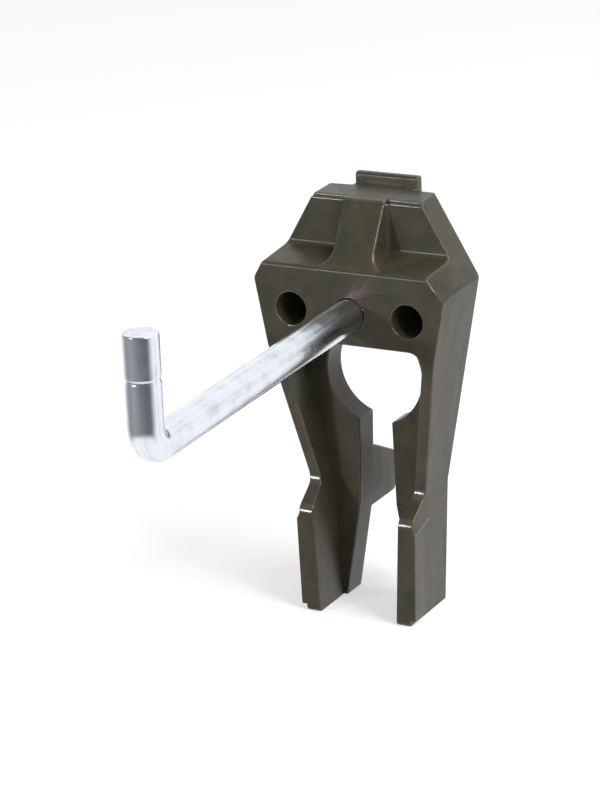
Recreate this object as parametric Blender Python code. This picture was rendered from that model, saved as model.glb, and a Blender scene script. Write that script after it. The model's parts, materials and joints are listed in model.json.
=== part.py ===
"""Clip-on tool hook for a perforated panel: a moulded clip with two spring arms, and one bent steel rod.

The clip hooks its tab into a square hole of the panel and snaps the barbed noses of its arms into the hole
below. Squeezing the pads on the legs turns the arms inwards and frees the noses. The rod is pressed into the
middle socket of the front plate, and the two side sockets are empty.

Lengths are in metres. The origin is in the rear face that lies on the panel, level with the middle of the
sockets in the front plate. +X is to the right as seen from the front, +Y points into the panel, -Y to the
front, and +Z is up. A depth is counted from the rear face to the front.
"""

import math

import bmesh
import bpy
from mathutils import Matrix, Vector

MM = 0.001

# The panel that the clip fits: steel sheet with square holes in a square grid
HOLE_SIDE = 10.0 * MM
HOLE_PITCH = 38.0 * MM
SHEET_THICKNESS = 1.0 * MM
UPPER_HOLE_Z = 11.0 * MM
HOLE_CLEARANCE = 0.3 * MM
SHEET_CLEARANCE = 0.2 * MM

# Outline of the moulding as seen from the front, as half widths and heights
TOP_HALF_WIDTH = 7.9 * MM
TOP_Z = 14.9 * MM
MOULDING_HEIGHT = 58.9 * MM
SHOULDER_HALF_WIDTH = 14.3 * MM
SHOULDER_Z = 3.9 * MM
SHOULDER_RADIUS = 0.8 * MM
WAIST_HALF_WIDTH = 8.87 * MM
WAIST_Z = -25.9 * MM
FOOT_HALF_WIDTH = 8.05 * MM

# Head: top strip, pockets, ledge and front plate, from the side
PLATE_DEPTH = 11.2 * MM
PLATE_TOP_Z = 6.2 * MM
PLATE_BOTTOM_Z = -4.3 * MM
PLATE_EDGE_RADIUS = 0.5 * MM
STRIP_DEPTH = 4.5 * MM
STRIP_FALL = 0.25 * MM
STEP_DROP = 0.45 * MM
STEP_DEPTH = 0.45 * MM
POCKET_FLOOR_RISE = 1.2 * MM
POCKET_FLOOR_RADIUS = 1.6 * MM
CAVITY_CORNER_RADIUS = 2.3 * MM

# Facet across the plate's upper right corner: widest on the plate's top edge, it ends below the shoulder, and
# it fades out just above and in front of the pocket's inner corner
FACET_INSET = 1.35 * MM
FACET_FOOT_DROP = 0.5 * MM
FACET_FADE_RISE = 0.3 * MM
FACET_FADE_SETBACK = 0.4 * MM

# Boss between the pockets
BOSS_WIDTH = 6.1 * MM
BOSS_TOP_DEPTH = 5.4 * MM
BOSS_FOOT_DEPTH = 9.5 * MM
BOSS_FOOT_RISE = 1.4 * MM
BOSS_FLARE_RADIUS = 4.0 * MM
BOSS_SIDE_RADIUS = 2.4 * MM

# Tab that hooks up behind the sheet
NECK_HEIGHT = 3.5 * MM
LIP_THICKNESS = 1.5 * MM
LIP_CATCH = 0.4 * MM
LIP_EDGE_RADIUS = 0.5 * MM

# Rod and its sockets. The rod and the middle socket slope down to the front, and the rod's end stands upright
ROD_DIAMETER = 4.5 * MM
ROD_DROP_ANGLE = math.radians(1.9)
SOCKET_CLEARANCE = 0.1 * MM
SOCKET_SPACING = 8.72 * MM
SOCKET_FLOOR = 2.0 * MM
ROD_END_GAP = 0.3 * MM
HOOK_LENGTH = 52.25 * MM
TIP_HEIGHT = 13.15 * MM
ROD_BEND_RADIUS = 3.0 * MM
ROD_END_CHAMFER = 0.25 * MM

# Spring arms
WEB_THICKNESS = 4.2 * MM
ARM_WALL = 1.8 * MM
WALL_FILLET = 2.0 * MM
OPENING_RADIUS = 7.2 * MM
OPENING_Z = -10.4 * MM
SLOT_HALF_WIDTH = 2.45 * MM
SLOT_END_HALF_WIDTH = 2.75 * MM
SLOT_END_Z = -29.3 * MM
LEG_GAP_HALF_WIDTH = 5.3 * MM
RIM_START_Z = -5.5 * MM
WAIST_DEPTH = 7.2 * MM
WAIST_RADIUS = 1.5 * MM
LEG_DEPTH = 11.4 * MM
LEG_TOP_Z = -28.7 * MM
LEG_WALL = 2.2 * MM
LEG_TOP_RADIUS = 1.2 * MM
LEG_EDGE_RADIUS = 0.8 * MM

# Squeezing the arms: the largest turn, and the room that the parting plane leaves beyond it
SQUEEZE_ANGLE = math.radians(6.0)
PARTING_CLEARANCE = 0.08 * MM

# Finger pads on the legs
PAD_HEIGHT = 0.75 * MM
PAD_TOP_DROP = 1.7 * MM
PAD_FOOT_RISE = 0.9 * MM
PAD_FADE_DEPTH = 2.0 * MM

# Noses that snap into the lower hole
NOSE_REACH = 7.3 * MM
NOSE_TIP_HEIGHT = 6.0 * MM
NOSE_TIP_WIDTH = 1.4 * MM
NOSE_LEAD_IN = 1.2 * MM
BARB_CATCH = 0.9 * MM
BARB_LENGTH = 1.2 * MM

ARC_STEPS = 5
ROUND_STEPS = 40
OVERSHOOT = 2.0 * MM

# Derived places
FOOT_Z = TOP_Z - MOULDING_HEIGHT
POCKET_DEPTH = STRIP_DEPTH + STEP_DEPTH
POCKET_CORNER_Z = PLATE_TOP_Z + POCKET_FLOOR_RISE
FACET_FOOT_Z = SHOULDER_Z - FACET_FOOT_DROP
FACET_FADE_Z = POCKET_CORNER_Z + FACET_FADE_RISE
FACET_FADE_DEPTH = POCKET_DEPTH + FACET_FADE_SETBACK
UPPER_HOLE_TOP = UPPER_HOLE_Z + HOLE_SIDE / 2
LOWER_HOLE_Z = UPPER_HOLE_Z - HOLE_PITCH
TONGUE_HALF_WIDTH = HOLE_SIDE / 2 - HOLE_CLEARANCE
BEHIND_SHEET = SHEET_THICKNESS + SHEET_CLEARANCE
NOSE_TOP_Z = LOWER_HOLE_Z + HOLE_SIDE / 2 - HOLE_CLEARANCE
NOSE_FOOT_Z = LOWER_HOLE_Z - HOLE_SIDE / 2 + HOLE_CLEARANCE
SOCKET_RADIUS = (ROD_DIAMETER + SOCKET_CLEARANCE) / 2


def between(value, low, high, at_low, at_high):
    """The straight line through (low, at_low) and (high, at_high), read at value."""
    return at_low + (value - low) / (high - low) * (at_high - at_low)


def outer_x(z):
    """Half width of the moulding at height z."""
    if z > SHOULDER_Z:
        return between(z, SHOULDER_Z, TOP_Z, SHOULDER_HALF_WIDTH, TOP_HALF_WIDTH)
    if z > WAIST_Z:
        return between(z, WAIST_Z, SHOULDER_Z, WAIST_HALF_WIDTH, SHOULDER_HALF_WIDTH)
    return between(z, FOOT_Z, WAIST_Z, FOOT_HALF_WIDTH, WAIST_HALF_WIDTH)


def rim_depth(z):
    """Depth of an arm's front edge at height z, above the waist."""
    return between(z, WAIST_Z, RIM_START_Z, WAIST_DEPTH, PLATE_DEPTH)


def facet_front_x(z):
    """Half width of the plate's front where the facet cuts its corner, at height z."""
    return between(z, FACET_FOOT_Z, PLATE_TOP_Z, outer_x(FACET_FOOT_Z), outer_x(PLATE_TOP_Z) - FACET_INSET)


def facet_x(z, depth):
    """Half width of the facet's plane at height z and at a depth."""
    spread = outer_x(FACET_FADE_Z) - facet_front_x(FACET_FADE_Z)
    return facet_front_x(z) + between(depth, PLATE_DEPTH, FACET_FADE_DEPTH, 0.0, spread)


def pad_rise(depth):
    """How far a finger pad stands out of its leg at a depth."""
    return between(depth, PAD_FADE_DEPTH, LEG_DEPTH, 0.0, PAD_HEIGHT)


ARM_HALF_WIDTH = (outer_x(OPENING_Z) - OPENING_RADIUS) / 2
HINGE_X = OPENING_RADIUS + ARM_HALF_WIDTH
PARTING_GAP = ARM_HALF_WIDTH * math.tan(SQUEEZE_ANGLE) + PARTING_CLEARANCE
HEAD_BOTTOM_Z = OPENING_Z + PARTING_GAP / 2
ARM_TOP_Z = OPENING_Z - PARTING_GAP / 2


def clear_scene():
    for obj in list(bpy.data.objects):
        bpy.data.objects.remove(obj)


def material(name, colour, roughness, metallic):
    made = bpy.data.materials.new(name)
    made.use_nodes = True
    made.diffuse_color = (*colour, 1.0)
    shader = made.node_tree.nodes["Principled BSDF"]
    shader.inputs["Base Color"].default_value = (*colour, 1.0)
    shader.inputs["Roughness"].default_value = roughness
    shader.inputs["Metallic"].default_value = metallic
    return made


def filleted(corners):
    """The closed outline through corners (u, v, radius), with an arc at each corner that has a radius."""
    points = []
    for index, (u, v, radius) in enumerate(corners):
        here = Vector((u, v))
        if radius == 0.0:
            points.append(here)
            continue
        before = Vector(corners[index - 1][:2]) - here
        after = Vector(corners[(index + 1) % len(corners)][:2]) - here
        half_angle = before.angle(after) / 2
        reach = min(radius / math.tan(half_angle), 0.45 * min(before.length, after.length))
        start = here + before.normalized() * reach
        end = here + after.normalized() * reach
        centre = here + (before.normalized() + after.normalized()).normalized() * reach / math.cos(half_angle)
        sweep = (start - centre).angle_signed(end - centre)
        for step in range(ARC_STEPS + 1):
            turn = Matrix.Rotation(-sweep * step / ARC_STEPS, 2)
            points.append(centre + turn @ (start - centre))
    return [tuple(point) for point in points]


def arc(centre, radius, start, end, steps):
    """Points on a circle from angle start to angle end, both included."""
    angles = [start + (end - start) * step / steps for step in range(steps + 1)]
    return [(centre[0] + radius * math.cos(a), centre[1] + radius * math.sin(a)) for a in angles]


def mirrored(outline, side):
    return [(side * u, v) for u, v in outline]


def place(u, v, w, along):
    """A point whose outline coordinates are u, v, and w along the prism's axis."""
    return {"X": (w, u, v), "Y": (u, w, v), "Z": (u, v, w)}[along]


def loft(name, near_outline, far_outline, along, low, high):
    """A closed solid between two outlines of as many points, in the two other axes in X, Y, Z order."""
    mesh = bmesh.new()
    near = [mesh.verts.new(place(u, v, low, along)) for u, v in near_outline]
    far = [mesh.verts.new(place(u, v, high, along)) for u, v in far_outline]
    mesh.faces.new(near)
    mesh.faces.new(list(reversed(far)))
    for index in range(len(near)):
        following = (index + 1) % len(near)
        mesh.faces.new((near[index], far[index], far[following], near[following]))
    bmesh.ops.recalc_face_normals(mesh, faces=mesh.faces)
    return object_from(name, mesh)


def prism(name, outline, along, low, high):
    """A closed solid with the same outline all the way along."""
    return loft(name, outline, outline, along, low, high)


def object_from(name, mesh):
    data = bpy.data.meshes.new(name)
    mesh.to_mesh(data)
    mesh.free()
    obj = bpy.data.objects.new(name, data)
    bpy.context.scene.collection.objects.link(obj)
    return obj


def combine(target, tool, operation):
    """Applies one exact Boolean to target and removes the tool."""
    modifier = target.modifiers.new(operation, "BOOLEAN")
    modifier.operation = operation
    modifier.solver = "EXACT"
    modifier.object = tool
    graph = bpy.context.evaluated_depsgraph_get()
    result = bpy.data.meshes.new_from_object(target.evaluated_get(graph))
    target.modifiers.clear()
    target.data = result
    bpy.data.objects.remove(tool)


def cut(target, tool):
    combine(target, tool, "DIFFERENCE")


def join(target, tool):
    combine(target, tool, "UNION")


def trim(target, tool):
    combine(target, tool, "INTERSECT")


def finish(obj, made_of):
    """Gives a piece its material and smooth shading with sharp edges."""
    obj.data.materials.clear()
    obj.data.materials.append(made_of)
    obj.data.shade_smooth()
    obj.data.set_sharp_from_angle(angle=math.radians(35))


def head_outline():
    """The head from the front, down to the parting plane of the arms."""
    right = [
        (TOP_HALF_WIDTH, TOP_Z, 0.0),
        (SHOULDER_HALF_WIDTH, SHOULDER_Z, SHOULDER_RADIUS),
        (outer_x(HEAD_BOTTOM_Z), HEAD_BOTTOM_Z, 0.0),
    ]
    left = [(-u, v, radius) for u, v, radius in reversed(right)]
    return filleted(right + left)


def head_profile():
    """The head from the side, through a pocket: strip, step, rear wall, ledge, plate and the arms' rims."""
    strip_front_z = TOP_Z - STRIP_FALL
    step_z = strip_front_z - STEP_DROP
    return filleted([
        (0.0, TOP_Z, 0.0),
        (-STRIP_DEPTH, strip_front_z, 0.0),
        (-STRIP_DEPTH, step_z, 0.0),
        (-POCKET_DEPTH, step_z, 0.0),
        (-POCKET_DEPTH, POCKET_CORNER_Z, POCKET_FLOOR_RADIUS),
        (-PLATE_DEPTH, PLATE_TOP_Z, PLATE_EDGE_RADIUS),
        (-PLATE_DEPTH, RIM_START_Z, 0.0),
        (-rim_depth(HEAD_BOTTOM_Z), HEAD_BOTTOM_Z, 0.0),
        (0.0, HEAD_BOTTOM_Z, 0.0),
    ])


def boss_profile():
    """The boss from the side: a sloping face that flares out to the plate's top edge."""
    return filleted([
        (-STRIP_DEPTH / 2, TOP_Z - STRIP_FALL, 0.0),
        (-BOSS_TOP_DEPTH, TOP_Z - STRIP_FALL, 0.0),
        (-BOSS_FOOT_DEPTH, PLATE_TOP_Z + BOSS_FOOT_RISE, BOSS_FLARE_RADIUS),
        (-PLATE_DEPTH + PLATE_EDGE_RADIUS, PLATE_TOP_Z, 0.0),
        (-PLATE_DEPTH + PLATE_EDGE_RADIUS, PLATE_BOTTOM_Z / 2, 0.0),
        (-STRIP_DEPTH / 2, PLATE_BOTTOM_Z / 2, 0.0),
    ])


def boss_outline():
    """The boss from the front: straight sides that flare out to the ledge at their foot."""
    half = BOSS_WIDTH / 2
    centre = (half + BOSS_SIDE_RADIUS, PLATE_TOP_Z + BOSS_SIDE_RADIUS)
    right = [(half, TOP_Z)]
    right += arc(centre, BOSS_SIDE_RADIUS, math.pi, math.pi * 3 / 2, ARC_STEPS)
    right += [(half + BOSS_SIDE_RADIUS, PLATE_BOTTOM_Z)]
    return right + [(-u, v) for u, v in reversed(right)]


def build_boss():
    """The boss between the pockets, with a foot that flares out to the front and to both sides."""
    boss = prism("boss", boss_outline(), "Y", -PLATE_DEPTH, 0.0)
    trim(boss, prism("boss_side", boss_profile(), "X", -BOSS_WIDTH, BOSS_WIDTH))
    return boss


def corner_cut():
    """The cutter for the facet across the plate's upper right corner."""
    def outline(depth):
        beyond = SHOULDER_HALF_WIDTH + OVERSHOOT * 2
        foot = FACET_FOOT_Z - OVERSHOOT
        return [
            (facet_x(FACET_FADE_Z, depth), FACET_FADE_Z),
            (beyond, FACET_FADE_Z),
            (beyond, foot),
            (facet_x(foot, depth), foot),
        ]

    front = PLATE_DEPTH + OVERSHOOT
    rear = FACET_FADE_DEPTH - OVERSHOOT / 2
    return loft("corner_cut", outline(front), outline(rear), "Y", -front, -rear)


def tab_profile():
    """The tab from the side: the neck through the hole and the lip up behind the sheet."""
    lip_top = UPPER_HOLE_TOP + LIP_CATCH
    lip_back = BEHIND_SHEET + LIP_THICKNESS
    neck_bottom = TOP_Z - NECK_HEIGHT
    return filleted([
        (-STRIP_DEPTH / 2, TOP_Z - STRIP_FALL, 0.0),
        (0.0, TOP_Z, 0.0),
        (BEHIND_SHEET, TOP_Z, 0.0),
        (BEHIND_SHEET, lip_top, LIP_EDGE_RADIUS),
        (lip_back, lip_top, LIP_EDGE_RADIUS),
        (lip_back, neck_bottom, LIP_EDGE_RADIUS),
        (-STRIP_DEPTH / 2, neck_bottom, 0.0),
    ])


def cavity(name, outline, fillet_on):
    """The cutter for the hollow in front of the webs, with a rounded edge where fillet_on says so."""
    cutter = prism(name, outline, "Y", -PLATE_DEPTH - OVERSHOOT, -WEB_THICKNESS)
    mesh = bmesh.new()
    mesh.from_mesh(cutter.data)
    rear = -WEB_THICKNESS - OVERSHOOT / 100
    edges = [e for e in mesh.edges if all(v.co.y > rear for v in e.verts) and fillet_on(e)]
    bmesh.ops.bevel(mesh, geom=edges, offset=WALL_FILLET, segments=3, profile=0.5, affect="EDGES")
    mesh.to_mesh(cutter.data)
    mesh.free()
    return cutter


def head_cavity():
    """The hollow between the stubs of the two arms, below the plate."""
    bottom = HEAD_BOTTOM_Z - OVERSHOOT
    top_x = outer_x(PLATE_BOTTOM_Z) - ARM_WALL
    bottom_x = outer_x(bottom) - ARM_WALL
    outline = filleted([
        (-top_x, PLATE_BOTTOM_Z, CAVITY_CORNER_RADIUS),
        (top_x, PLATE_BOTTOM_Z, CAVITY_CORNER_RADIUS),
        (bottom_x, bottom, 0.0),
        (-bottom_x, bottom, 0.0),
    ])

    def beside_a_wall(edge):
        below = PLATE_BOTTOM_Z - OVERSHOOT / 100
        return all(abs(v.co.x) > OPENING_RADIUS and v.co.z < below for v in edge.verts)

    return cavity("head_cavity", outline, beside_a_wall)


def opening_outline():
    """The round opening, cut off flat by the underside of the head."""
    rise = math.asin((PLATE_BOTTOM_Z - OPENING_Z) / OPENING_RADIUS)
    return arc((0.0, OPENING_Z), OPENING_RADIUS, rise, -math.pi - rise, ROUND_STEPS)


def socket(x, drop):
    """The cutter for a blind round hole that slopes down to the front by the angle drop."""
    outline = arc((x, 0.0), SOCKET_RADIUS, 0.0, 2 * math.pi, ROUND_STEPS)[:-1]
    cutter = prism("socket", outline, "Y", -OVERSHOOT, PLATE_DEPTH - SOCKET_FLOOR)
    to_plate = Matrix.Translation((0.0, -PLATE_DEPTH, 0.0))
    cutter.data.transform(to_plate @ Matrix.Rotation(drop, 4, "X"))
    return cutter


def build_clip_body(plastic):
    """Head block with the front plate, sockets, pockets, boss, tab and the stubs of the two arms."""
    body = prism("clip_body", head_outline(), "Y", -PLATE_DEPTH - OVERSHOOT, 0.0)
    side = SHOULDER_HALF_WIDTH + OVERSHOOT
    trim(body, prism("head_side", head_profile(), "X", -side, side))
    cut(body, corner_cut())
    join(body, build_boss())
    cut(body, head_cavity())
    cut(body, prism("opening", opening_outline(), "Y", -WEB_THICKNESS - OVERSHOOT, OVERSHOOT))
    for place_x, drop in ((-SOCKET_SPACING, 0.0), (0.0, ROD_DROP_ANGLE), (SOCKET_SPACING, 0.0)):
        cut(body, socket(place_x, drop))
    join(body, prism("tab", tab_profile(), "X", -TONGUE_HALF_WIDTH, TONGUE_HALF_WIDTH))
    finish(body, plastic)
    return body


def arm_outline():
    """The right arm from the front: outer side, foot, slot edge and its share of the opening."""
    straight = filleted([
        (outer_x(ARM_TOP_Z), ARM_TOP_Z, 0.0),
        (WAIST_HALF_WIDTH, WAIST_Z, 0.0),
        (FOOT_HALF_WIDTH, FOOT_Z, LEG_EDGE_RADIUS),
        (LEG_GAP_HALF_WIDTH, FOOT_Z, 0.0),
        (SLOT_END_HALF_WIDTH, SLOT_END_Z, 0.0),
    ])
    slot_top = -math.acos(SLOT_HALF_WIDTH / OPENING_RADIUS)
    arm_top = math.asin((ARM_TOP_Z - OPENING_Z) / OPENING_RADIUS)
    return straight + arc((0.0, OPENING_Z), OPENING_RADIUS, slot_top, arm_top, ROUND_STEPS // 4)


def arm_profile():
    """The arm from the side: the rim falls back to the waist, then steps forward to the leg."""
    return filleted([
        (0.0, ARM_TOP_Z, 0.0),
        (-rim_depth(ARM_TOP_Z), ARM_TOP_Z, 0.0),
        (-WAIST_DEPTH, WAIST_Z, WAIST_RADIUS),
        (-LEG_DEPTH, LEG_TOP_Z, LEG_TOP_RADIUS),
        (-LEG_DEPTH, FOOT_Z, LEG_EDGE_RADIUS),
        (0.0, FOOT_Z, 0.0),
    ])


def arm_cavity(side):
    """The hollow inside the arm's outer wall, in front of its web."""
    top = ARM_TOP_Z + OVERSHOOT
    foot = FOOT_Z - OVERSHOOT
    outline = [
        (outer_x(top) - ARM_WALL, top),
        (WAIST_HALF_WIDTH - ARM_WALL, WAIST_Z),
        (outer_x(LEG_TOP_Z) - LEG_WALL, LEG_TOP_Z),
        (outer_x(foot) - LEG_WALL, foot),
        (0.0, foot),
        (0.0, top),
    ]

    def beside_the_wall(edge):
        first, second = (v.co for v in edge.verts)
        return min(abs(first.x), abs(second.x)) > OVERSHOOT and first.z != second.z

    return cavity("arm_cavity", mirrored(outline, side), beside_the_wall)


def nose(side):
    """The half nose behind the arm's web: a barb behind the sheet and a tip that leads it into the hole."""
    outline = mirrored([
        (0.0, -WEB_THICKNESS / 2),
        (0.0, NOSE_REACH),
        (TONGUE_HALF_WIDTH - NOSE_TIP_WIDTH + NOSE_LEAD_IN / 2, NOSE_REACH),
        (TONGUE_HALF_WIDTH + BARB_CATCH, BEHIND_SHEET + BARB_LENGTH),
        (TONGUE_HALF_WIDTH + BARB_CATCH, BEHIND_SHEET),
        (TONGUE_HALF_WIDTH, BEHIND_SHEET),
        (TONGUE_HALF_WIDTH, -WEB_THICKNESS / 2),
    ], side)
    made = prism("nose", outline, "Z", NOSE_FOOT_Z, NOSE_TOP_Z)
    profile = filleted([
        (-WEB_THICKNESS, NOSE_TOP_Z + OVERSHOOT, 0.0),
        (-WEB_THICKNESS, NOSE_FOOT_Z, 0.0),
        (NOSE_REACH, NOSE_FOOT_Z, LIP_EDGE_RADIUS),
        (NOSE_REACH, NOSE_FOOT_Z + NOSE_TIP_HEIGHT, NOSE_LEAD_IN),
        (0.0, NOSE_TOP_Z, 0.0),
        (0.0, NOSE_TOP_Z + OVERSHOOT, 0.0),
    ])
    trim(made, prism("nose_side", profile, "X", -HOLE_SIDE, HOLE_SIDE))
    slot_edge = mirrored(arm_outline(), side)
    trim(made, prism("nose_front", slot_edge, "Y", -WEB_THICKNESS, NOSE_REACH + OVERSHOOT))
    return made


def pad_section(z):
    """The finger pad from above: it runs out past the leg's front, and down into the wall at its rear."""
    front = LEG_DEPTH + OVERSHOOT / 2
    rear = PAD_FADE_DEPTH - OVERSHOOT / 2
    return [
        (outer_x(z) - LEG_WALL / 2, -front),
        (outer_x(z) + pad_rise(front), -front),
        (outer_x(z) + pad_rise(rear), -rear),
        (outer_x(z) - LEG_WALL / 2, -rear),
    ]


def pad(side):
    """The raised finger pad on the outer side of the leg, before the arm's side view is cut out."""
    foot = FOOT_Z + PAD_FOOT_RISE
    top = LEG_TOP_Z - PAD_TOP_DROP
    return loft("pad", mirrored(pad_section(foot), side), mirrored(pad_section(top), side), "Z", foot, top)


def build_arm(name, side, plastic):
    """One spring arm with its nose, leg and finger pad. Its origin is on its hinge axis."""
    arm = prism(name, mirrored(arm_outline(), side), "Y", -LEG_DEPTH - OVERSHOOT, 0.0)
    join(arm, pad(side))
    trim(arm, prism("arm_side", arm_profile(), "X", -SHOULDER_HALF_WIDTH, SHOULDER_HALF_WIDTH))
    cut(arm, arm_cavity(side))
    join(arm, nose(side))
    hinge = Vector((side * HINGE_X, 0.0, OPENING_Z))
    arm.data.transform(Matrix.Translation(-hinge))
    arm.location = hinge
    finish(arm, plastic)
    return arm


def rod_rings():
    """Place (y, z) and heading of each ring: out of the socket, round the bend, up. Heading 0 is level."""
    def rising(heading):
        return Vector((-math.cos(heading), math.sin(heading)))

    def upwards(heading):
        return Vector((math.sin(heading), math.cos(heading)))

    level, upright = -ROD_DROP_ANGLE, math.pi / 2
    mouth = Vector((-PLATE_DEPTH, 0.0))
    inner_length = PLATE_DEPTH - SOCKET_FLOOR - ROD_END_GAP
    bend_reach = ROD_BEND_RADIUS * math.tan((upright - level) / 2)
    corner = mouth + rising(level) * HOOK_LENGTH / math.cos(level)
    centre = corner - rising(level) * bend_reach + upwards(level) * ROD_BEND_RADIUS
    rings = [(mouth - rising(level) * inner_length, level)]
    steps = ARC_STEPS * 2
    for step in range(steps + 1):
        heading = between(step, 0, steps, level, upright)
        rings.append((centre - upwards(heading) * ROD_BEND_RADIUS, heading))
    rings.append((Vector((corner.x, TIP_HEIGHT)), upright))
    return rings


def build_rod(steel):
    """The bent rod, pressed into the middle socket."""
    mesh = bmesh.new()
    radius = ROD_DIAMETER / 2
    loops = []
    for (y, z), heading in rod_rings():
        loop = []
        for step in range(ROUND_STEPS):
            angle = 2 * math.pi * step / ROUND_STEPS
            up = radius * math.sin(angle)
            loop.append(mesh.verts.new((
                radius * math.cos(angle),
                y + up * math.sin(heading),
                z + up * math.cos(heading),
            )))
        loops.append(loop)
    for first, second in zip(loops, loops[1:]):
        bmesh.ops.bridge_loops(mesh, edges=ring_edges(mesh, first) + ring_edges(mesh, second))
    inner_cap = mesh.faces.new(loops[0])
    outer_cap = mesh.faces.new(loops[-1])
    rims = list(inner_cap.edges) + list(outer_cap.edges)
    bmesh.ops.bevel(mesh, geom=rims, offset=ROD_END_CHAMFER, segments=1, affect="EDGES")
    bmesh.ops.recalc_face_normals(mesh, faces=mesh.faces)
    rod = object_from("hook_rod", mesh)
    finish(rod, steel)
    return rod


def ring_edges(mesh, loop):
    """The edges round one ring, made if they aren't there yet."""
    edges = []
    for first, second in zip(loop, loop[1:] + loop[:1]):
        edges.append(mesh.edges.get((first, second)) or mesh.edges.new((first, second)))
    return edges


def main():
    clear_scene()
    plastic = material("clip_plastic", (0.052, 0.043, 0.032), 0.42, 0.0)
    steel = material("zinc_steel", (0.76, 0.78, 0.81), 0.28, 1.0)
    body = build_clip_body(plastic)
    for name, side in (("left_spring_arm", -1), ("right_spring_arm", 1)):
        arm = build_arm(name, side, plastic)
        arm.parent = body
    rod = build_rod(steel)
    rod.parent = body


main()
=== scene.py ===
import json
import math

import bpy
from mathutils import Matrix, Vector


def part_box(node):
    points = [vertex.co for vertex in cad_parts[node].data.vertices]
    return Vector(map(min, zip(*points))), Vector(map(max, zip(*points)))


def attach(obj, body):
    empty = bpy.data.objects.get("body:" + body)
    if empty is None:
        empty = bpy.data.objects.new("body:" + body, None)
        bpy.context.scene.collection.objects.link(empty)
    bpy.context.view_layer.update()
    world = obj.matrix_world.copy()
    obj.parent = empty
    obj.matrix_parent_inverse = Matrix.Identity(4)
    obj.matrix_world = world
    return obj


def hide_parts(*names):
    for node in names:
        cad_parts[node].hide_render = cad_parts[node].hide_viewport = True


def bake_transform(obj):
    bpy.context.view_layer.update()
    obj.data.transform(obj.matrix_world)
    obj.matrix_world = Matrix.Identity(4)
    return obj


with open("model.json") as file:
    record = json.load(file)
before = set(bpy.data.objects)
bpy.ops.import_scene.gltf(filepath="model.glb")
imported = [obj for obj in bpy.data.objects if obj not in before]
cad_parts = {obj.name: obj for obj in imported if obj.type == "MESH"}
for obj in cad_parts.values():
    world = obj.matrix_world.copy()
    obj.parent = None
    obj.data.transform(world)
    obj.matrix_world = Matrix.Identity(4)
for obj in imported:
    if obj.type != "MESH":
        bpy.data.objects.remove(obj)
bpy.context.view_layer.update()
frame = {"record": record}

MM = 0.001


# Clip: one moulding of dark, satin, olive-brown plastic, a head block with two spring arms that hang from
# it. It is drawn from the front and the side, as the halves of its mould shape it, and then cored out. Sizes
# are in millimetres: x across from the middle, z up from the sockets, and y back, so minus is forward.
TOP_X, TOP_Z = 7.9, 14.9
SHOULDER_X, SHOULDER_Z, SHOULDER_RADIUS = 14.3, 3.9, 0.45
WAIST_X, WAIST_Z = 8.87, -25.9
FOOT_X = 8.05
FOOT_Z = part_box("right_spring_arm")[0].z / MM
LEG_Y, LEG_TOP_Z = -11.4, -28.7
BEYOND = 18.0  # further out than either side of the clip
SPARE = 2.0  # how far a shape that cuts reaches past what it cuts
NEAR = 0.01  # places nearer to each other than this are taken as one


def drawn(name, outline, axis, low, high):
    """A block with this outline: a point is pulled from corner to corner, and the face is drawn out."""
    def spot(u, v, w):
        return MM * Vector({"X": (w, u, v), "Y": (u, w, v), "Z": (u, v, w)}[axis])

    bpy.ops.object.select_all(action="DESELECT")
    here = spot(*outline[0], low)
    bpy.ops.mesh.primitive_plane_add(size=MM, location=here)
    block = bpy.context.object
    block.name = name
    bpy.ops.object.mode_set(mode="EDIT")
    bpy.ops.mesh.select_mode(type="VERT")
    bpy.ops.mesh.select_all(action="SELECT")
    bpy.ops.mesh.merge(type="CENTER")
    for corner in outline[1:]:
        there = spot(*corner, low)
        bpy.ops.mesh.extrude_region_move(TRANSFORM_OT_translate={"value": there - here})
        here = there
    bpy.ops.mesh.select_all(action="SELECT")
    bpy.ops.mesh.edge_face_add()
    bpy.ops.mesh.extrude_region_move(TRANSFORM_OT_translate={"value": spot(0, 0, high) - spot(0, 0, low)})
    bpy.ops.mesh.select_all(action="SELECT")
    bpy.ops.mesh.normals_make_consistent(inside=False)
    bpy.ops.object.mode_set(mode="OBJECT")
    bpy.ops.object.transform_apply(location=True, rotation=True, scale=True)
    return block


def both(points):
    """An outline of the right half, from the top down, with its mirror image added."""
    return points + [(-u, v) for u, v in reversed(points)]


def pick(obj):
    """Leaves only this object selected and active."""
    bpy.ops.object.select_all(action="DESELECT")
    obj.select_set(True)
    bpy.context.view_layer.objects.active = obj


def deselect_parts(block):
    """Deselects every vertex, edge and face of a block."""
    pick(block)
    for part in (block.data.vertices, block.data.edges, block.data.polygons):
        part.foreach_set("select", [False] * len(part))


def round_edges(block, radius, chosen, steps):
    """Rounds the edges whose two ends, in millimetres, are chosen."""
    bpy.context.scene.tool_settings.mesh_select_mode = (False, True, False)
    deselect_parts(block)
    for edge in block.data.edges:
        start, end = (block.data.vertices[i].co / MM for i in edge.vertices)
        edge.select = chosen(start, end)
    bpy.ops.object.mode_set(mode="EDIT")
    bpy.ops.mesh.bevel(offset=radius * MM, segments=steps, profile=0.5, clamp_overlap=False)
    bpy.ops.object.mode_set(mode="OBJECT")


clip = drawn("clip", both([
    (TOP_X, TOP_Z), (SHOULDER_X, SHOULDER_Z), (WAIST_X, WAIST_Z), (FOOT_X, FOOT_Z),
]), "Y", LEG_Y - SPARE / 2, 0.0)
round_edges(clip, SHOULDER_RADIUS, lambda a, b: a.z == b.z and abs(a.z - SHOULDER_Z) < NEAR, steps=3)

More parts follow.
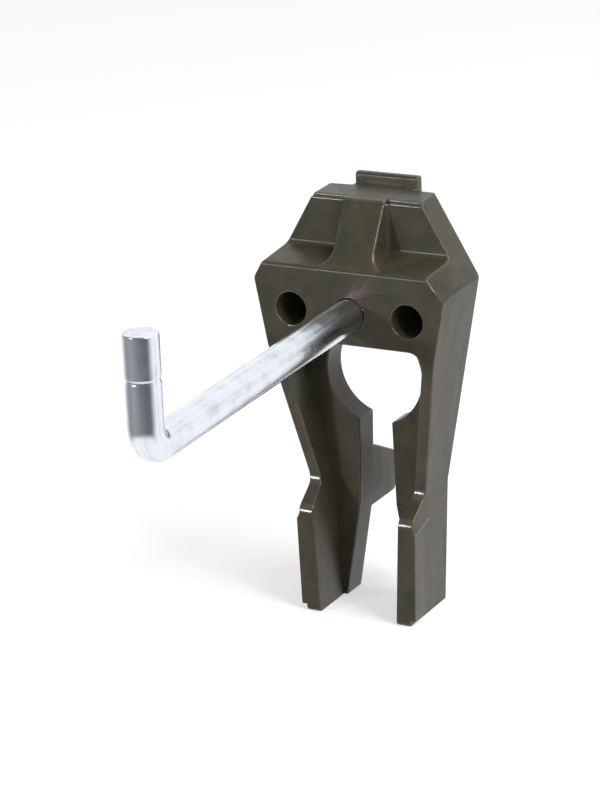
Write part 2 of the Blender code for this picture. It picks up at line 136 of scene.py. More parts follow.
# Finger pads: a low wedge on the outside of each leg, where a thumb and a finger squeeze the arms. At the
# rear it fades into the leg: the outer corners there move in, the upper one along the slope of its top.
PAD_FOOT_Z, PAD_TOP_Z, PAD_RISE = FOOT_Z + 0.9, -29.5, 1.0
PAD_HEIGHT, PAD_TOP_HEIGHT = 0.8, 0.5
PAD_FRONT_Y, PAD_REAR_Y = LEG_Y - 0.6, -1.0
PAD_ROOT, PAD_FADE = 1.2, 0.9


def side_x(z):
    """Half width of the moulding at a height."""
    if z > SHOULDER_Z:
        return SHOULDER_X + (z - SHOULDER_Z) / (TOP_Z - SHOULDER_Z) * (TOP_X - SHOULDER_X)
    if z > WAIST_Z:
        return WAIST_X + (z - WAIST_Z) / (SHOULDER_Z - WAIST_Z) * (SHOULDER_X - WAIST_X)
    return FOOT_X + (z - FOOT_Z) / (WAIST_Z - FOOT_Z) * (WAIST_X - FOOT_X)


def slide(block, offset, chosen):
    """Moves the vertices whose place, in millimetres, is chosen."""
    deselect_parts(block)
    for vertex in block.data.vertices:
        vertex.select = chosen(vertex.co / MM)
    bpy.ops.object.mode_set(mode="EDIT")
    bpy.ops.mesh.select_mode(type="VERT")
    bpy.ops.transform.translate(value=Vector(offset) * MM)
    bpy.ops.object.mode_set(mode="OBJECT")


def combine(block, tool, operation):
    """Cuts a block with a tool, adds the tool to it, or keeps what they share. The tool is used up."""
    pick(block)
    change = block.modifiers.new(operation, "BOOLEAN")
    change.operation = operation
    change.solver = "EXACT"
    change.object = tool
    bpy.ops.object.modifier_apply(modifier=change.name)
    pick(tool)
    bpy.ops.object.delete()


foot_x, top_x = side_x(PAD_FOOT_Z), side_x(PAD_TOP_Z)
pad_z, pad_slope = PAD_TOP_Z - PAD_RISE, PAD_TOP_HEIGHT / PAD_RISE
pad_lean = (top_x + PAD_TOP_HEIGHT - foot_x - PAD_HEIGHT) / (pad_z - PAD_FOOT_Z)
pad_middle_z, pad_root_z = (PAD_FOOT_Z + PAD_TOP_Z) / 2, PAD_TOP_Z + PAD_ROOT / pad_slope
fade_z = PAD_FADE / (pad_slope + pad_lean)
for side in (-1, 1):
    pad = drawn("pad", [
        (side * (foot_x - PAD_ROOT), PAD_FOOT_Z), (side * (foot_x + PAD_HEIGHT), PAD_FOOT_Z),
        (side * (top_x + PAD_TOP_HEIGHT), pad_z), (side * (top_x - PAD_ROOT), pad_root_z),
    ], "Y", PAD_FRONT_Y, PAD_REAR_Y)
    up_the_slope, inwards = (-side * fade_z * pad_slope, 0, fade_z), (-side * PAD_FADE, 0, 0)
    for upper, offset in ((True, up_the_slope), (False, inwards)):
        slide(pad, offset, lambda p: (
            p.y > PAD_REAR_Y - NEAR and abs(p.x) > foot_x + NEAR and (p.z > pad_middle_z) == upper
        ))
    combine(clip, pad, "UNION")

# The side view: a top strip with a step under its edge, the pockets' rear wall, the sloping ledge, the flat
# front plate, the rims that fall back to the waist, and the legs that come forward again.
STRIP_Y, STRIP_Z, STEP_Z = -4.5, 14.65, 14.2
WALL_Y, WALL_FOOT_Z, WALL_FOOT_RADIUS = -4.95, 7.4, 0.6
PLATE_Y, PLATE_TOP_Z, PLATE_BOTTOM_Z, PLATE_RADIUS = -11.2, 6.2, -4.3, 0.45
RIM_Z, WAIST_Y, WAIST_RADIUS = -5.5, -7.2, 1.2
LEG_TOP_RADIUS, TOE_RADIUS = 0.8, 0.6
profile = drawn("side_view", [
    (0.0, TOP_Z), (STRIP_Y, STRIP_Z), (STRIP_Y, STEP_Z), (WALL_Y, STEP_Z), (WALL_Y, WALL_FOOT_Z),
    (PLATE_Y, PLATE_TOP_Z), (PLATE_Y, RIM_Z), (WAIST_Y, WAIST_Z), (LEG_Y, LEG_TOP_Z),
    (LEG_Y, FOOT_Z), (0.0, FOOT_Z),
], "X", -BEYOND, BEYOND)


def across(y, z):
    """Chooses the edges that run from side to side through a point of the side view."""
    return lambda a, b: all(abs(p.y - y) < NEAR and abs(p.z - z) < NEAR for p in (a, b))


round_edges(profile, WALL_FOOT_RADIUS, across(WALL_Y, WALL_FOOT_Z), steps=5)
round_edges(profile, PLATE_RADIUS, across(PLATE_Y, PLATE_TOP_Z), steps=6)
round_edges(profile, WAIST_RADIUS, across(WAIST_Y, WAIST_Z), steps=6)
round_edges(profile, LEG_TOP_RADIUS, across(LEG_Y, LEG_TOP_Z), steps=5)
round_edges(profile, TOE_RADIUS, across(LEG_Y, FOOT_Z), steps=4)
combine(clip, profile, "INTERSECT")

# Facet: it cuts off the plate's upper right corner and fades out towards the rear.
FACET_FOOT_Z, FACET_TOP_Z = 3.0, 7.7
FACET_INSET, FACET_REAR_Y = 1.35, -5.9


def facet_x(z):
    """Where the facet meets the front of the plate, at a height."""
    share = (z - FACET_FOOT_Z) / (PLATE_TOP_Z - FACET_FOOT_Z)
    return side_x(FACET_FOOT_Z) + share * (side_x(PLATE_TOP_Z) - FACET_INSET - side_x(FACET_FOOT_Z))


facet_lean = (side_x(FACET_TOP_Z) - facet_x(FACET_TOP_Z)) / (FACET_REAR_Y - PLATE_Y)
facet_low_z = FACET_FOOT_Z - SPARE
facet_ends = (PLATE_Y - SPARE, FACET_REAR_Y + SPARE / 2)
facet = drawn("facet", [
    (facet_x(facet_low_z), facet_low_z), (BEYOND + SPARE, facet_low_z),
    (BEYOND + SPARE, FACET_TOP_Z), (facet_x(FACET_TOP_Z), FACET_TOP_Z),
], "Y", *facet_ends)
for y in facet_ends:
    slide(facet, (facet_lean * (y - PLATE_Y), 0, 0), lambda p: p.x < BEYOND and abs(p.y - y) < NEAR)
combine(clip, facet, "DIFFERENCE")

# Boss: the solid rib between the two pockets. Its face slopes forward and flares out into the plate's top
# edge, its sides flare out into the ledge, and a small fillet joins them to the pockets' rear wall.
BOSS_X, BOSS_FLARE = 3.05, 2.4
BOSS_REAR_Y, BOSS_TOP_Y, BOSS_TOP_Z = -2.2, -4.0, 17.0
BOSS_KNEE_Y, BOSS_KNEE_Z, BOSS_KNEE_RADIUS, BOSS_FOOT_Y = -9.5, 7.6, 1.2, -10.7
BOSS_BLANK_X, BOSS_BLANK_FRONT_Y, BOSS_BLANK_REAR_Y = 7.0, -11.0, -2.0
BOSS_FILLET, BOSS_FILLET_FOOT_Z = 0.7, 7.0


def bow(centre, radius, start, end, steps):
    """Points along a circle, between two angles in degrees."""
    turns = [math.radians(start + (end - start) * step / steps) for step in range(steps + 1)]
    return [(centre[0] + radius * math.cos(a), centre[1] + radius * math.sin(a)) for a in turns]


flare_x = BOSS_X + BOSS_FLARE
flare = bow((flare_x, PLATE_TOP_Z + BOSS_FLARE), BOSS_FLARE, 180, 270, steps=12)
boss_outline = both([(BOSS_X, TOP_Z + SPARE)] + flare + [(flare_x, 0.0)])
boss = drawn("boss", boss_outline, "Y", BOSS_BLANK_FRONT_Y, BOSS_BLANK_REAR_Y)
boss_side = drawn("boss_side", [
    (BOSS_REAR_Y, BOSS_TOP_Z), (BOSS_TOP_Y, BOSS_TOP_Z), (BOSS_KNEE_Y, BOSS_KNEE_Z),
    (BOSS_FOOT_Y, PLATE_TOP_Z), (BOSS_FOOT_Y, 0.0), (BOSS_REAR_Y, 0.0),
], "X", -BOSS_BLANK_X, BOSS_BLANK_X)
round_edges(boss_side, BOSS_KNEE_RADIUS, across(BOSS_KNEE_Y, BOSS_KNEE_Z), steps=8)
combine(boss, boss_side, "INTERSECT")
combine(clip, boss, "UNION")
root_x, root_y = BOSS_X + BOSS_FILLET, WALL_Y - BOSS_FILLET
root_arc = bow((root_x, root_y), BOSS_FILLET, 90, 180, steps=5)
root = drawn("boss_root", both([(root_x, BOSS_REAR_Y)] + root_arc), "Z", BOSS_FILLET_FOOT_Z, STEP_Z)
combine(clip, root, "UNION")

# The boss was drawn higher than the roof. What stands over the roof's slope is cut away, so that the two
# share one face.
ROOF_CUT, OVER_ROOF_Z = 0.01, 20.0
OVER_ROOF_FRONT_Y, OVER_ROOF_REAR_Y = -12.0, 3.0
over_roof_front_z = TOP_Z + (STRIP_Z - TOP_Z) / STRIP_Y * OVER_ROOF_FRONT_Y
over_roof = drawn("above_roof", [
    (0.0, TOP_Z - ROOF_CUT), (OVER_ROOF_FRONT_Y, over_roof_front_z - ROOF_CUT),
    (OVER_ROOF_FRONT_Y, OVER_ROOF_Z), (OVER_ROOF_REAR_Y, OVER_ROOF_Z), (OVER_ROOF_REAR_Y, TOP_Z),
], "X", -BEYOND, BEYOND)
combine(clip, over_roof, "DIFFERENCE")

# Hollow of the arms: open to the front between their outer walls, with round upper corners under the plate.
WALL, LEG_WALL, WEB_Y, HOLLOW_RADIUS = 1.8, 2.2, -4.2, 2.3
below_foot_z = FOOT_Z - SPARE
hollow = drawn("hollow", both([
    (side_x(PLATE_BOTTOM_Z) - WALL, PLATE_BOTTOM_Z), (WAIST_X - WALL, WAIST_Z),
    (side_x(LEG_TOP_Z) - LEG_WALL, LEG_TOP_Z), (side_x(below_foot_z) - LEG_WALL, below_foot_z),
]), "Y", LEG_Y - SPARE, WEB_Y)
round_edges(hollow, HOLLOW_RADIUS, lambda a, b: (
    a.z == b.z and abs(a.z - PLATE_BOTTOM_Z) < NEAR and abs(a.x - b.x) < NEAR
), steps=8)
combine(clip, hollow, "DIFFERENCE")

# Tab: its neck goes through one square hole of a steel sheet, and its lip stands up behind the sheet.
TAB_X, TAB_FOOT_Z, TAB_FRONT_Y, TAB_RADIUS = 4.7, 11.4, -2.2, 0.5
LIP_FRONT_Y, LIP_BACK_Y, LIP_Z = 1.2, 2.7, 16.4
tab = drawn("tab", [
    (TAB_FRONT_Y, STRIP_Z), (0.0, TOP_Z - ROOF_CUT), (LIP_FRONT_Y, TOP_Z - ROOF_CUT), (LIP_FRONT_Y, LIP_Z),
    (LIP_BACK_Y, LIP_Z), (LIP_BACK_Y, TAB_FOOT_Z), (TAB_FRONT_Y, TAB_FOOT_Z),
], "X", -TAB_X, TAB_X)
for y, z in ((LIP_FRONT_Y, LIP_Z), (LIP_BACK_Y, LIP_Z), (LIP_BACK_Y, TAB_FOOT_Z)):
    round_edges(tab, TAB_RADIUS, across(y, z), steps=4)
combine(clip, tab, "UNION")

# Noses: half a nose behind each arm, with a barb that snaps behind the sheet in the hole below.
NOSE_FOOT_Z, NOSE_TIP_Z, NOSE_TOP_Z = -31.7, -25.7, -22.3
NOSE_ROOT_Y, NOSE_TIP_Y, NOSE_TIP_X, NOSE_BLANK_X = -2.1, 7.3, 3.9, 10.0
NOSE_FOOT_RADIUS, NOSE_TIP_RADIUS = 0.5, 1.2
BARB_X, BARB_END_Y = 5.6, 2.4
nose = drawn("nose", both([
    (TAB_X, NOSE_ROOT_Y), (TAB_X, LIP_FRONT_Y), (BARB_X, LIP_FRONT_Y), (BARB_X, BARB_END_Y),
    (NOSE_TIP_X, NOSE_TIP_Y),
]), "Z", NOSE_FOOT_Z, NOSE_TOP_Z)
nose_side = drawn("nose_side", [
    (WEB_Y, NOSE_TOP_Z + SPARE), (WEB_Y, NOSE_FOOT_Z), (NOSE_TIP_Y, NOSE_FOOT_Z), (NOSE_TIP_Y, NOSE_TIP_Z),
    (0.0, NOSE_TOP_Z), (0.0, NOSE_TOP_Z + SPARE),
], "X", -NOSE_BLANK_X, NOSE_BLANK_X)
round_edges(nose_side, NOSE_FOOT_RADIUS, across(NOSE_TIP_Y, NOSE_FOOT_Z), steps=4)
round_edges(nose_side, NOSE_TIP_RADIUS, across(NOSE_TIP_Y, NOSE_TIP_Z), steps=6)
combine(nose, nose_side, "INTERSECT")
combine(clip, nose, "UNION")

# Keyhole: a round opening with a flat top and the slot below it part the two arms, so that they can spring
# together. Below the slot, the insides of the legs draw apart.
HINGE_Z = frame["record"]["behaviour"]["joints"][0]["pos_m"][2] / MM
OPENING_RADIUS, OPENING_TOP_Z = 7.2, -4.6
SLOT_X, SLOT_END_X, SLOT_END_Z, LEG_GAP_X = 2.45, 2.75, -29.3, 5.65
slot_angle = math.degrees(math.acos(SLOT_X / OPENING_RADIUS))
roof_angle = math.degrees(math.asin((OPENING_TOP_Z - HINGE_Z) / OPENING_RADIUS))
opening = bow((0.0, HINGE_Z), OPENING_RADIUS, -slot_angle, roof_angle, steps=40)
keyhole_outline = both([(LEG_GAP_X, below_foot_z), (SLOT_END_X, SLOT_END_Z)] + opening)
keyhole = drawn("keyhole", keyhole_outline, "Y", LEG_Y - SPARE, NOSE_TIP_Y + SPARE)
combine(clip, keyhole, "DIFFERENCE")

# Sockets: three round blind holes for rods. The middle one slopes down to the front with the rod in it.
SOCKET_X, SOCKET_RADIUS, SOCKET_FLOOR_Y = 8.72, 2.3, -2.0
ROUND_SIDES = 64
ROD_DROP = math.radians(1.9)
for x, drop in ((-SOCKET_X, 0.0), (0.0, ROD_DROP), (SOCKET_X, 0.0)):
    bpy.ops.object.select_all(action="DESELECT")
    bpy.ops.mesh.primitive_cylinder_add(
        vertices=ROUND_SIDES, radius=SOCKET_RADIUS * MM, depth=2 * (SOCKET_FLOOR_Y - PLATE_Y) * MM,
        location=(x * MM, PLATE_Y * MM, 0.0), rotation=(math.pi / 2 + drop, 0, 0),
    )
    socket = bpy.context.object
    bpy.ops.object.transform_apply(location=True, rotation=True, scale=True)
    combine(clip, socket, "DIFFERENCE")

# Outer edges are slightly rounded, the boss's more than the others, but not the one from the facet to the
# clip's side. These roundings and the bends at the waist and on top of the legs are rubbed shiny, and their
# lighter plastic is also a painted highlight.
EDGE_RADIUS, BROAD_EDGE_RADIUS, EDGE_ANGLE = 0.2, 0.34, math.radians(28)
BOSS_EDGE_X, OFF_WALL = 6.0, 0.2
RUBBED_AND_HIGHLIGHT_REACH = 1.0
pick(clip)
bpy.ops.object.mode_set(mode="EDIT")
bpy.ops.mesh.select_all(action="SELECT")
bpy.ops.mesh.remove_doubles(threshold=0.002 * MM)
bpy.ops.mesh.dissolve_limited(angle_limit=math.radians(0.5))
bpy.ops.object.mode_set(mode="OBJECT")


def on_boss(place):
    """Tells whether a place, in millimetres, is on the boss, clear of the pockets' wall and the plate."""
    return abs(place.x) < BOSS_EDGE_X and place.y < WALL_Y - OFF_WALL and place.z > PLATE_TOP_Z + OFF_WALL


def beside_facet(first, second):
    """Tells whether an edge, by the normals of its two faces, lies between the facet and the clip's side.

    Both look to the right, the side not forward at all, and the facet a little.
    """
    side_face, facet_face = sorted((first, second), key=lambda n: abs(n.y))
    if side_face.x < 0.5 or facet_face.x < 0.5:
        return False
    return abs(side_face.y) < 0.02 and -0.6 < facet_face.y < -0.1


faces_at = {}
for face in clip.data.polygons:
    ring = list(face.vertices)
    for tail, head in zip(ring, ring[1:] + ring[:1]):
        faces_at.setdefault(frozenset((tail, head)), []).append((face.normal, tail, head))
sharp = clip.data.attributes.new("bevel_weight_edge", "FLOAT", "EDGE")
for edge in clip.data.edges:
    (first, tail, head), (second, *_) = faces_at[frozenset(edge.vertices)]
    start, end = (clip.data.vertices[i].co / MM for i in (tail, head))
    outer = second.dot(first.cross(end - start)) < 0
    if outer and first.angle(second) > EDGE_ANGLE and not beside_facet(first, second):
        broad = on_boss(start) and on_boss(end)
        sharp.data[edge.index].value = 1.0 if broad else EDGE_RADIUS / BROAD_EDGE_RADIUS
# Faces at the bends of the waist and the leg tops: they take the lighter plastic, partly rubbed wear, partly
# a painted highlight.
rubbed_and_highlight_faces = [
    face.index for face in clip.data.polygons if abs(face.normal.x) < 0.1 and any(
        math.hypot(face.center.y / MM - y, face.center.z / MM - z) < RUBBED_AND_HIGHLIGHT_REACH
        for y, z in ((WAIST_Y, WAIST_Z), (LEG_Y, LEG_TOP_Z))
    )
]


def node(tree, kind, inputs, **settings):
    """Adds a shader node with these settings, and gives each of its inputs a value or a wire."""
    made = tree.nodes.new("ShaderNode" + kind)
    for name, value in settings.items():
        setattr(made, name, value)
    for name, value in inputs.items():
        if isinstance(value, bpy.types.NodeSocket):
            tree.links.new(value, made.inputs[name])
        else:
            made.inputs[name].default_value = value
    return made


def ramp(tree, factor, stops):
    """Turns a factor into a colour, with stops of (position, colour)."""
    made = node(tree, "ValToRGB", {"Fac": factor})
    made.color_ramp.elements[1].position = stops[-1][0]
    made.color_ramp.elements[1].color = (*stops[-1][1], 1)
    made.color_ramp.elements[0].position = stops[0][0]
    made.color_ramp.elements[0].color = (*stops[0][1], 1)
    for position, colour in stops[1:-1]:
        made.color_ramp.elements.new(position).color = (*colour, 1)
    return made.outputs["Color"]


def plastic(name, tones, smooth, rough, shine):
    """Moulded plastic: cloudy colour, dust specks, smeared gloss, fine spark-eroded grain and slow waves."""
    made = bpy.data.materials.new(name)
    made.use_nodes = True
    tree = made.node_tree
    shader = tree.nodes["Principled BSDF"]
    place = node(tree, "TexCoord", {}).outputs["Object"]
    shader.inputs["Specular IOR Level"].default_value = shine
    clouds = node(tree, "TexNoise", {"Vector": place, "Scale": 260.0, "Detail": 6.0, "Roughness": 0.66})
    tint = ramp(tree, clouds.outputs["Fac"], list(zip((0.34, 0.45, 0.54, 0.66), tones)))
    specks = node(tree, "TexNoise", {"Vector": place, "Scale": 2100.0, "Detail": 2.0})
    dust = node(tree, "MapRange", {
        "Value": specks.outputs["Fac"], "From Min": 0.70, "From Max": 0.80, "To Min": 0.0, "To Max": 0.25,
    })
    dusty = node(tree, "MixRGB", {
        "Fac": dust.outputs["Result"], "Color1": tint, "Color2": (0.16, 0.15, 0.13, 1),
    })
    tree.links.new(dusty.outputs["Color"], shader.inputs["Base Color"])
    rubbed = node(tree, "Mapping", {
        "Vector": place, "Rotation": (0.3, 0.5, 0.2), "Scale": (1.0, 1.0, 0.16),
    })
    smears = node(tree, "TexNoise", {"Vector": rubbed.outputs["Vector"], "Scale": 520.0, "Detail": 5.0})
    gloss = node(tree, "MapRange", {
        "Value": smears.outputs["Fac"], "From Min": 0.3, "From Max": 0.7, "To Min": smooth, "To Max": rough,
    })
    tree.links.new(gloss.outputs["Result"], shader.inputs["Roughness"])
    waves = node(tree, "TexNoise", {"Vector": place, "Scale": 210.0, "Detail": 2.0})
    waved = node(tree, "Bump", {"Height": waves.outputs["Fac"], "Strength": 0.35, "Distance": 0.06 * MM})
    grain = node(tree, "TexNoise", {"Vector": place, "Scale": 4300.0, "Detail": 3.0, "Roughness": 0.7})
    grained = node(tree, "Bump", {
        "Height": grain.outputs["Fac"], "Strength": 0.5, "Distance": 0.016 * MM,
        "Normal": waved.outputs["Normal"],
    })
    tree.links.new(grained.outputs["Normal"], shader.inputs["Normal"])
    return made


clip.data.materials.clear()
clip.data.materials.append(plastic("clip_plastic", (
    (0.033, 0.037, 0.020), (0.046, 0.043, 0.025), (0.056, 0.046, 0.028), (0.070, 0.048, 0.036),
), smooth=0.28, rough=0.42, shine=0.36))
# Lighter tones than the clip's plastic: partly rubbed wear, partly a painted highlight on edges and bends.
clip.data.materials.append(plastic("rubbed_and_highlight_plastic", (
    (0.052, 0.052, 0.036), (0.060, 0.056, 0.040), (0.072, 0.062, 0.046), (0.086, 0.070, 0.056),
), smooth=0.12, rough=0.22, shine=0.6))
for index in rubbed_and_highlight_faces:
    clip.data.polygons[index].material_index = 1
rounding = clip.modifiers.new("rounding", "BEVEL")
rounding.limit_method = "WEIGHT"
rounding.width = BROAD_EDGE_RADIUS * MM
rounding.segments = 3
# The roundings take the lighter plastic, partly rubbed wear, partly a painted highlight.
rounding.material = 1
rounding.miter_outer = "MITER_ARC"
rounding.use_clamp_overlap = False
pick(clip)
bpy.ops.object.modifier_apply(modifier="rounding")

# The moulding is one body for the eye, but its arms turn, so it is parted at the height where they bend.
# Rows of edges are cut across each arm below that height, from the head to where it is stiff.
BEND_ROWS, BEND_END_Z = 9, -17.5


def cut_off(block, point, away):
    """Cuts a block through a point and closes it there: what lies in the direction away is dropped."""
    pick(block)
    bpy.ops.object.mode_set(mode="EDIT")
    bpy.ops.mesh.select_all(action="SELECT")
    bpy.ops.mesh.bisect(plane_co=Vector(point) * MM, plane_no=away, use_fill=True, clear_outer=True)
    bpy.ops.object.mode_set(mode="OBJECT")


def smoothed(block):
    """Shades a finished piece smooth, with its broad faces kept flat."""
    pick(block)
    bpy.ops.object.shade_smooth_by_angle(angle=math.radians(40))
    even = block.modifiers.new("even", "WEIGHTED_NORMAL")
    even.keep_sharp = True
    bpy.ops.object.modifier_apply(modifier="even")


for name, side in (("left_arm", -1), ("right_arm", 1)):
    pick(clip)
    bpy.ops.object.duplicate()
    arm = bpy.context.object
    arm.name = name + "_moulding"
    cut_off(arm, (0, 0, HINGE_Z), (0, 0, 1))
    cut_off(arm, (0, 0, 0), (-side, 0, 0))
    bpy.ops.object.mode_set(mode="EDIT")
    for row in range(1, BEND_ROWS + 1):
        height = HINGE_Z + (BEND_END_Z - HINGE_Z) * row / BEND_ROWS
        bpy.ops.mesh.select_all(action="SELECT")
        bpy.ops.mesh.bisect(plane_co=(0, 0, height * MM), plane_no=(0, 0, 1))
    bpy.ops.object.mode_set(mode="OBJECT")
    smoothed(arm)
    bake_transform(arm)
    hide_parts(name.replace("arm", "spring_arm"))
clip.name = "head_moulding"
cut_off(clip, (0, 0, HINGE_Z), (0, 0, -1))
smoothed(clip)
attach(clip, "clip")
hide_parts("clip_body")


# Hook rod: drawn steel wire, bright zinc plated, bent up at its end and pressed into the middle socket. The
# bending die has left a faint ring round the upright end.
ROD_RADIUS, ROD_CHAMFER = 2.25, 0.2
ROD_REACH, ROD_TIP_Z, ROD_BEND = 52.25, 13.15, 3.0
ROD_START_GAP, ROD_STEPS = 0.3, 24
RING_Z, RING_HEIGHT, RING_SLOPE, RING_SCALE = 6.9, 0.9, 0.25, 0.95
forward = Vector((0, -math.cos(ROD_DROP), -math.sin(ROD_DROP)))
overhead = Vector((0, -math.sin(ROD_DROP), math.cos(ROD_DROP)))
mouth = Vector((0, PLATE_Y, 0))
corner = mouth + forward * ROD_REACH / math.cos(ROD_DROP)
bend_turn = math.pi / 2 + ROD_DROP
bend_start = corner - forward * ROD_BEND * math.tan(bend_turn / 2)
bend_centre = bend_start + overhead * ROD_BEND
rod_start = mouth - forward * (SOCKET_FLOOR_Y - PLATE_Y - ROD_START_GAP)
straight_run = (bend_start - rod_start).length
stretch = (bend_start - rod_start) * MM / ROD_STEPS

bpy.ops.object.select_all(action="DESELECT")
bpy.ops.mesh.primitive_circle_add(
    vertices=ROUND_SIDES, radius=ROD_RADIUS * MM, fill_type="NGON", location=rod_start * MM,
    rotation=(math.pi / 2 + ROD_DROP, 0, 0),
)
rod = bpy.context.object
rod.name = "hook_wire"
bpy.ops.object.transform_apply(location=True, rotation=True, scale=True)
bpy.ops.object.mode_set(mode="EDIT")
bpy.ops.mesh.select_all(action="SELECT")
for step in range(ROD_STEPS):
    bpy.ops.mesh.extrude_region_move(TRANSFORM_OT_translate={"value": stretch})
bpy.ops.mesh.spin(steps=ROD_STEPS, angle=bend_turn, center=bend_centre * MM, axis=(1, 0, 0))
height = bend_centre.z
for top, scale in (
    (RING_Z, 1.0), (RING_Z + RING_SLOPE, RING_SCALE), (RING_Z + RING_HEIGHT - RING_SLOPE, 1.0),
    (RING_Z + RING_HEIGHT, 1 / RING_SCALE), (ROD_TIP_Z, 1.0),
):
    bpy.ops.mesh.extrude_region_move(TRANSFORM_OT_translate={"value": (0, 0, (top - height) * MM)})
    bpy.ops.transform.resize(value=(scale, scale, 1.0), center_override=(0, corner.y * MM, top * MM))
    height = top
bpy.ops.mesh.select_all(action="SELECT")
bpy.ops.mesh.normals_make_consistent(inside=False)
bpy.ops.object.mode_set(mode="OBJECT")
round_edges(rod, ROD_CHAMFER, lambda a, b: min(a.z, b.z) > ROD_TIP_Z - NEAR, steps=3)


def unbent(point):
    """Where a point of the rod would lie if the rod were straight: across it, over it, and along it."""
    spoke = point - bend_centre
    turn = math.atan2(spoke.dot(forward), -spoke.dot(overhead))
    if turn < 0:
        return Vector((point.x, ROD_BEND + spoke.dot(overhead), straight_run + spoke.dot(forward)))
    if turn < bend_turn:
        distance = Vector((0, spoke.y, spoke.z)).length
        return Vector((point.x, ROD_BEND - distance, straight_run + ROD_BEND * turn))
    return Vector((point.x, ROD_BEND + spoke.y, straight_run + ROD_BEND * bend_turn + spoke.z))


lie = rod.data.attributes.new("lie", "FLOAT_VECTOR", "POINT")
for vertex in rod.data.vertices:
    lie.data[vertex.index].vector = unbent(vertex.co / MM) * MM


def zinc(name):
    """Bright zinc on drawn wire: cloudy bluish plating, streaks and scratches that follow the wire."""
    made = bpy.data.materials.new(name)
    made.use_nodes = True
    tree = made.node_tree
    shader = tree.nodes["Principled BSDF"]
    shader.inputs["Metallic"].default_value = 1.0
    place = node(tree, "Attribute", {}, attribute_name="lie").outputs["Vector"]
    drawn_out = node(tree, "Mapping", {"Vector": place, "Scale": (1.0, 1.0, 0.025)}).outputs["Vector"]
    clouds = node(tree, "TexNoise", {"Vector": place, "Scale": 330.0, "Detail": 3.0, "Roughness": 0.6})
    streaks = node(tree, "TexNoise", {
        "Vector": drawn_out, "Scale": 1500.0, "Detail": 2.0, "Roughness": 0.5,
    })
    mixed = node(tree, "Math", {0: clouds.outputs["Fac"], 1: streaks.outputs["Fac"]}, operation="ADD")
    halved = node(tree, "Math", {0: mixed.outputs["Value"], 1: 0.5}, operation="MULTIPLY")
    tint = ramp(tree, halved.outputs["Value"], [
        (0.36, (0.62, 0.67, 0.76)), (0.5, (0.82, 0.87, 0.95)), (0.62, (0.88, 0.92, 0.98)),
    ])
    tree.links.new(tint, shader.inputs["Base Color"])
    gloss = node(tree, "MapRange", {
        "Value": halved.outputs["Value"], "From Min": 0.38, "From Max": 0.62,
        "To Min": 0.265, "To Max": 0.18,
    })
    tree.links.new(gloss.outputs["Result"], shader.inputs["Roughness"])
    lumps = node(tree, "TexNoise", {"Vector": place, "Scale": 420.0, "Detail": 1.0})
    lumped = node(tree, "Bump", {"Height": lumps.outputs["Fac"], "Strength": 0.5, "Distance": 0.06 * MM})
    lines = node(tree, "Bump", {
        "Height": streaks.outputs["Fac"], "Strength": 0.5, "Distance": 0.04 * MM,
        "Normal": lumped.outputs["Normal"],
    })
    tree.links.new(lines.outputs["Normal"], shader.inputs["Normal"])
    return made


rod.data.materials.clear()
rod.data.materials.append(zinc("zinc_steel"))
smoothed(rod)
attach(rod, "clip")
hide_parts("hook_rod")


# Floor: a sheet of white paper under the feet. It shows as white as the surround, apart from the object's
# soft shadow.
FLOOR_SIZE = 4000.0
bpy.ops.object.select_all(action="DESELECT")
bpy.ops.mesh.primitive_plane_add(size=FLOOR_SIZE * MM, location=(0, 0, FOOT_Z * MM))
floor = bpy.context.object
floor.name = "floor"
floor.visible_glossy = False
paper = bpy.data.materials.new("paper")
paper.use_nodes = True
tree = paper.node_tree
sheet = tree.nodes["Principled BSDF"]
sheet.inputs["Base Color"].default_value = (0.62, 0.62, 0.61, 1)
sheet.inputs["Roughness"].default_value = 0.95
sheet.inputs["Specular IOR Level"].default_value = 0.0
seen = node(tree, "LightPath", {}).outputs["Is Camera Ray"]
shine = node(tree, "MapRange", {"Value": seen, "To Min": 0.0, "To Max": 0.52})
sheet.inputs["Emission Color"].default_value = (1.0, 1.0, 1.0, 1)
tree.links.new(shine.outputs["Result"], sheet.inputs["Emission Strength"])
floor.data.materials.append(paper)

# Surround: the camera sees it white, and it lights the object evenly. Gloss shows it white behind and below
# the object, and darker in front of it, where the room stands unlit, most of all to the right.
SURROUND_LEVEL, DIM_LEVEL, DARK_LEVEL = 0.44, 0.30, 0.11
world = bpy.data.worlds.new("studio")
bpy.context.scene.world = world
world.use_nodes = True
tree = world.node_tree
looking = node(tree, "TexCoord", {}).outputs["Generated"]
ways = node(tree, "SeparateXYZ", {"Vector": looking}).outputs
room = node(tree, "MapRange", {
    "Value": ways["X"], "From Min": -0.6, "From Max": 0.7, "To Min": DIM_LEVEL, "To Max": DARK_LEVEL,
})
facing = node(tree, "VectorMath", {0: looking, 1: (0.10, 0.98, -0.15)}, operation="DOT_PRODUCT")
backed = node(tree, "MapRange", {
    "Value": facing.outputs["Value"], "From Min": -0.25, "From Max": 0.4,
    "To Min": room.outputs["Result"], "To Max": 1.0,
}, interpolation_type="SMOOTHSTEP")
table = node(tree, "MapRange", {
    "Value": ways["Z"], "From Min": -0.36, "From Max": -0.60, "To Min": 0.0, "To Max": 1.0,
}, interpolation_type="SMOOTHSTEP")
reflected = node(tree, "Math", {
    0: backed.outputs["Result"], 1: table.outputs["Result"],
}, operation="MAXIMUM")
ray = node(tree, "LightPath", {})
shiny = node(tree, "Math", {
    0: ray.outputs["Is Glossy Ray"], 1: ray.outputs["Is Transmission Ray"],
}, operation="MAXIMUM")
lit = node(tree, "MapRange", {
    "Value": shiny.outputs["Value"], "To Min": SURROUND_LEVEL, "To Max": reflected.outputs["Value"],
})
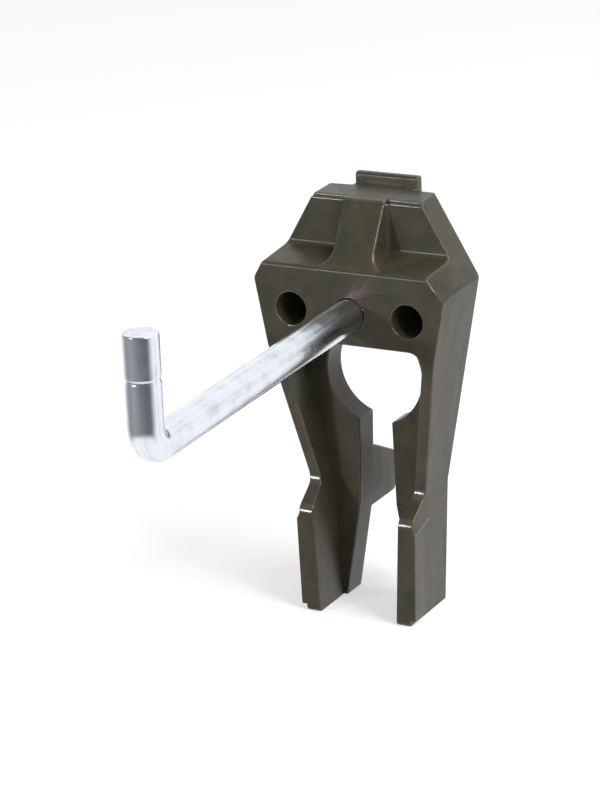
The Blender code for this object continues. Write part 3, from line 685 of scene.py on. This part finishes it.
level = node(tree, "MapRange", {
    "Value": ray.outputs["Is Camera Ray"], "To Min": lit.outputs["Result"], "To Max": 1.0,
})
surround = tree.nodes["Background"]
surround.inputs["Color"].default_value = (1.0, 1.0, 1.0, 1)
tree.links.new(level.outputs["Result"], surround.inputs["Strength"])

# Lamps: a large soft key from the upper right, and two small windows, front left and right, that draw
# bright edges. All three stand at the same distance, in metres.
LAMP_DISTANCE = 0.9


def lamp(name, toward, size, power):
    """A round lamp that shines on the object from a direction."""
    data = bpy.data.lights.new(name, "AREA")
    data.shape = "DISK"
    data.size = size
    data.energy = power
    made = bpy.data.objects.new(name, data)
    bpy.context.scene.collection.objects.link(made)
    toward = Vector(toward).normalized()
    made.location = toward * LAMP_DISTANCE
    made.rotation_euler = toward.to_track_quat("Z", "Y").to_euler()


lamp("key", (0.64, -0.13, 0.76), size=0.5, power=5.0)
lamp("window", (-0.46, -0.87, 0.16), size=0.13, power=2.8)
lamp("side_window", (0.85, -0.36, 0.38), size=0.16, power=1.6)
bpy.context.scene.view_settings.view_transform = "Standard"

# Camera: the photograph's view, from the front, a little to the right and above. The lens is given by its
# focal length in pixels of the picture's longer side.
CAMERA_PLACE = (0.1736, -0.3390, 0.11466)
FOCAL_PIXELS, LONG_SIDE, SENSOR = 2900, 800, 36.0
turn, rise, roll = (math.radians(angle) for angle in (28.97, 18.81, -2.40))
back = Vector((math.sin(turn) * math.cos(rise), -math.cos(turn) * math.cos(rise), math.sin(rise)))
across_view = Vector((math.cos(turn), math.sin(turn), 0.0))
up_view = back.cross(across_view)
right = math.cos(roll) * across_view + math.sin(roll) * up_view
up = math.cos(roll) * up_view - math.sin(roll) * across_view
lens = bpy.data.cameras.new("camera")
lens.sensor_width = SENSOR
lens.lens = SENSOR * FOCAL_PIXELS / LONG_SIDE
lens.clip_start = 0.01
camera = bpy.data.objects.new("camera", lens)
bpy.context.scene.collection.objects.link(camera)
camera.matrix_world = Matrix((right, up, back)).transposed().to_4x4()
camera.location = CAMERA_PLACE
bpy.context.scene.camera = camera
